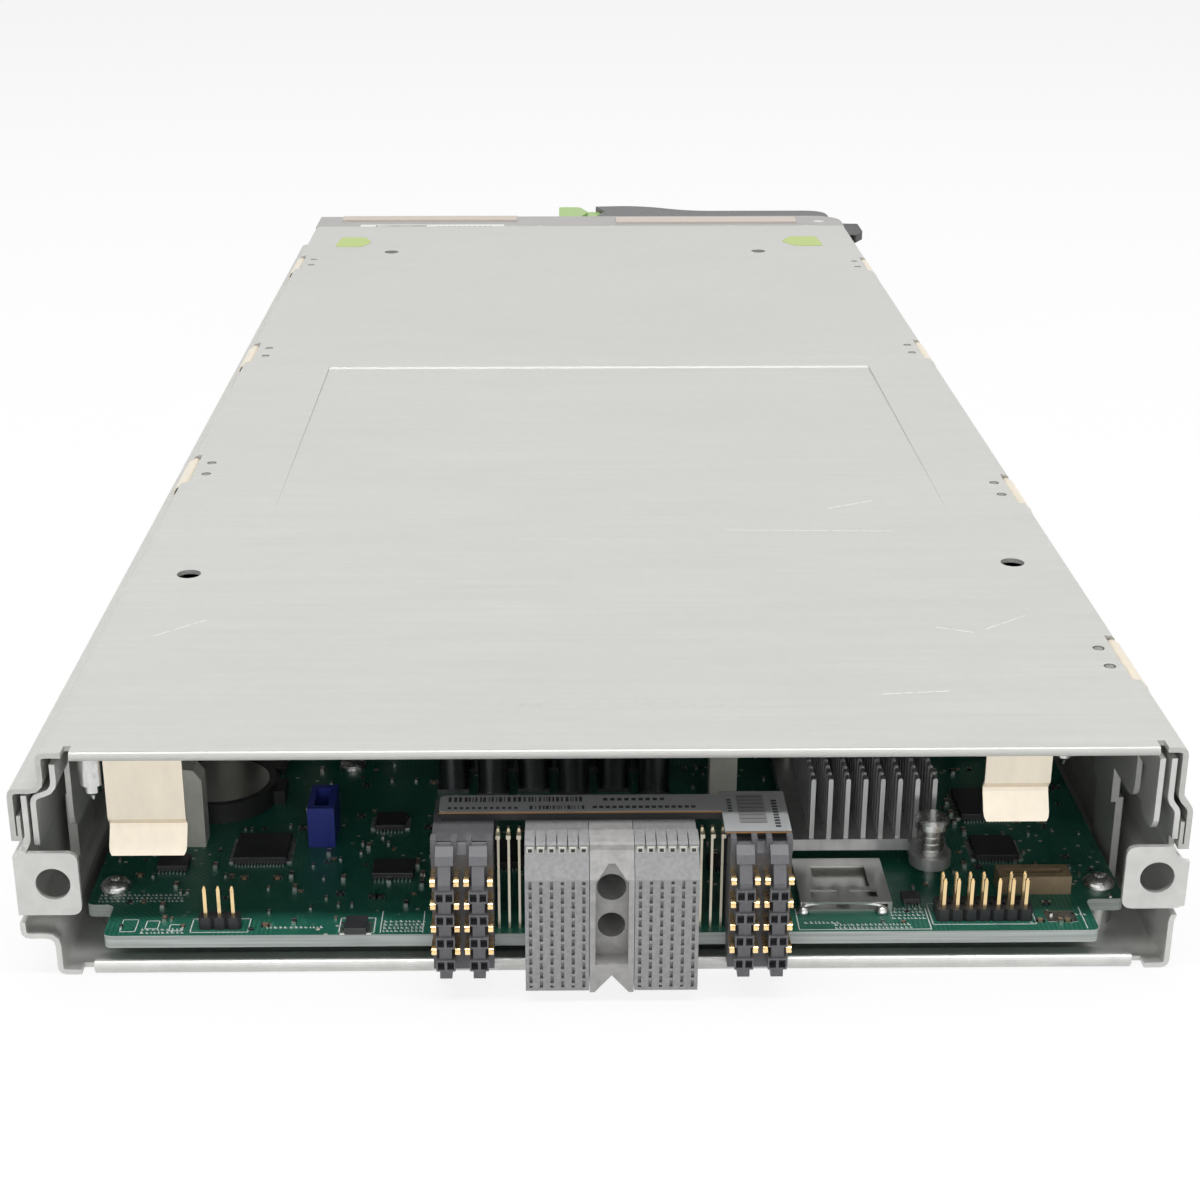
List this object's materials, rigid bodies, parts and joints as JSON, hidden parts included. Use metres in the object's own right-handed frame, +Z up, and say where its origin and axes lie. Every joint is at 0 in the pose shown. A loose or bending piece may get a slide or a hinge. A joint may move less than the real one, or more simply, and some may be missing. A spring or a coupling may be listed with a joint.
{
  "type": "blade server",
  "caption": "Half-height blade server: folded sheet case with sliding cover, rear backplane connectors, board, drives, and a front ejector lever.",
  "frame": {"origin": "middle of the underside: on the tray's bottom face, half way along the sheet metal and half way across", "axes": "+Z up, +Y from the rear backplane connectors towards the front bezel and its ejector lever, +X to the right seen from the rear"},
  "size_m": [0.2186, 0.528, 0.0441],
  "materials": {
    "galvanised_sheet": "zinc coated, satin",
    "cover_sheet": "zinc coated with a fine lengthwise grain, satin",
    "nickel_strip": "nickel plated spring strip",
    "rivet_steel": "dark rivet heads",
    "turned_steel": "plated, turned",
    "spring_wire": "drawn wire",
    "green_label": "matt label",
    "grey_label": "matt label",
    "green_laminate": "fibre laminate with solder mask",
    "chip_laminate": "chip package",
    "grey_connector_plastic": "moulded, filled",
    "light_connector_plastic": "moulded, filled",
    "dark_connector_plastic": "moulded, filled",
    "gold_contacts": "gold flash",
    "tinned_pins": "tinned",
    "black_plastic": "moulded",
    "tinned_steel": "tinned",
    "blue_plastic": "moulded",
    "tan_plastic": "moulded",
    "natural_nylon": "moulded",
    "can_aluminium": "drawn can",
    "ferrite": "pressed powder block",
    "fin_aluminium": "bare extrusion",
    "drive_casting": "cast housing",
    "carrier_plastic": "moulded",
    "handle_plastic": "moulded",
    "bezel_paint": "satin silver paint",
    "gasket_fabric": "conductive fabric over foam",
    "clear_plastic": "clear moulding",
    "button_plastic": "moulded",
    "lever_casting": "dark grey paint",
    "black_steel": "blackened",
    "green_plastic": "moulded"
  },
  "bodies": {
    "chassis": {"base_tray": "galvanised_sheet", "inner_rails": "galvanised_sheet", "drive_cage": "galvanised_sheet", "lever_pivot_pin": "turned_steel", "board_standoffs": "turned_steel", "board_screws": "turned_steel", "heat_sink_screws": "turned_steel", "heat_sink_springs": "spring_wire", "connector_label": "grey_label", "system_board": "green_laminate", "memory_modules": "green_laminate", "drive_backplane": "green_laminate", "chip_packages": "chip_laminate", "left_signal_connector": "grey_connector_plastic", "right_signal_connector": "grey_connector_plastic", "guide_block": "light_connector_plastic", "left_power_connector": "dark_connector_plastic", "right_power_connector": "dark_connector_plastic", "power_contacts": "gold_contacts", "header_pins": "gold_contacts", "ground_pins": "tinned_pins", "connector_organizer": "black_plastic", "header_bodies": "black_plastic", "processor_sockets": "black_plastic", "memory_sockets": "black_plastic", "coin_cell_holder": "black_plastic", "card_cage": "tinned_steel", "front_ports": "tinned_steel", "coin_cell": "tinned_steel", "blue_connector": "blue_plastic", "riser_connector": "tan_plastic", "nylon_posts": "natural_nylon", "capacitors": "can_aluminium", "inductors": "ferrite", "chipset_heat_sink": "fin_aluminium", "processor_heat_sinks": "fin_aluminium", "front_bezel": "bezel_paint", "bezel_gaskets": "gasket_fabric", "light_pipes": "clear_plastic"},
    "cover": {"top_cover": "cover_sheet", "spring_fingers": "nickel_strip", "finger_rivets": "rivet_steel", "contact_clips": "nickel_strip", "locating_pins": "turned_steel", "touch_labels": "green_label"},
    "lever": {"ejector_lever": "lever_casting", "lever_hook": "black_steel"},
    "release_tip": {"release_tip": "green_plastic"},
    "power_button": {"power_button": "button_plastic"},
    "left_drive": {"left_drive_carrier": "carrier_plastic", "left_drive": "drive_casting"},
    "right_drive": {"right_drive_carrier": "carrier_plastic", "right_drive": "drive_casting"},
    "left_drive_handle": {"left_drive_handle": "handle_plastic"},
    "right_drive_handle": {"right_drive_handle": "handle_plastic"},
    "rear_left_latches": {"rear_left_latches": "natural_nylon"},
    "rear_right_latches": {"rear_right_latches": "natural_nylon"},
    "front_left_latches": {"front_left_latches": "natural_nylon"},
    "front_right_latches": {"front_right_latches": "natural_nylon"}
  },
  "joints": [
    {"name": "cover_slide", "type": "slide", "parent": "chassis", "child": "cover", "axis": [0, -1, 0], "range_m": [0, 0.012]},
    {"name": "lever_swing", "type": "hinge", "parent": "chassis", "child": "lever", "pos_m": [0.096, 0.236, 0.037], "axis": [0, 0, -1], "range_deg": [0, 70]},
    {"name": "tip_slide", "type": "slide", "parent": "lever", "child": "release_tip", "axis": [1, 0, 0], "range_m": [0, 0.0025], "stiffness_N_per_m": 300, "springref_m": -0.003},
    {"name": "button_press", "type": "slide", "parent": "chassis", "child": "power_button", "axis": [0, -1, 0], "range_m": [0, 0.0015], "stiffness_N_per_m": 400, "springref_m": -0.002},
    {"name": "left_drive_slide", "type": "slide", "parent": "chassis", "child": "left_drive", "axis": [0, 1, 0], "range_m": [0, 0.1]},
    {"name": "right_drive_slide", "type": "slide", "parent": "chassis", "child": "right_drive", "axis": [0, 1, 0], "range_m": [0, 0.1]},
    {"name": "left_handle_swing", "type": "hinge", "parent": "left_drive", "child": "left_drive_handle", "pos_m": [-0.0264, 0.2464, 0.0135], "axis": [0, 0, -1], "range_deg": [0, 75]},
    {"name": "right_handle_swing", "type": "hinge", "parent": "right_drive", "child": "right_drive_handle", "pos_m": [0.052, 0.2464, 0.0135], "axis": [0, 0, -1], "range_deg": [0, 75]},
    {"name": "rear_left_latches_swing", "type": "hinge", "parent": "chassis", "child": "rear_left_latches", "pos_m": [-0.07455, -0.1708, 0.01175], "axis": [1, 0, 0], "range_deg": [0, 30]},
    {"name": "rear_right_latches_swing", "type": "hinge", "parent": "chassis", "child": "rear_right_latches", "pos_m": [0.07735, -0.1708, 0.01175], "axis": [1, 0, 0], "range_deg": [0, 30]},
    {"name": "front_left_latches_swing", "type": "hinge", "parent": "chassis", "child": "front_left_latches", "pos_m": [-0.07455, 0.1108, 0.01175], "axis": [-1, 0, 0], "range_deg": [0, 30]},
    {"name": "front_right_latches_swing", "type": "hinge", "parent": "chassis", "child": "front_right_latches", "pos_m": [0.07735, 0.1108, 0.01175], "axis": [-1, 0, 0], "range_deg": [0, 30]}
  ]
}
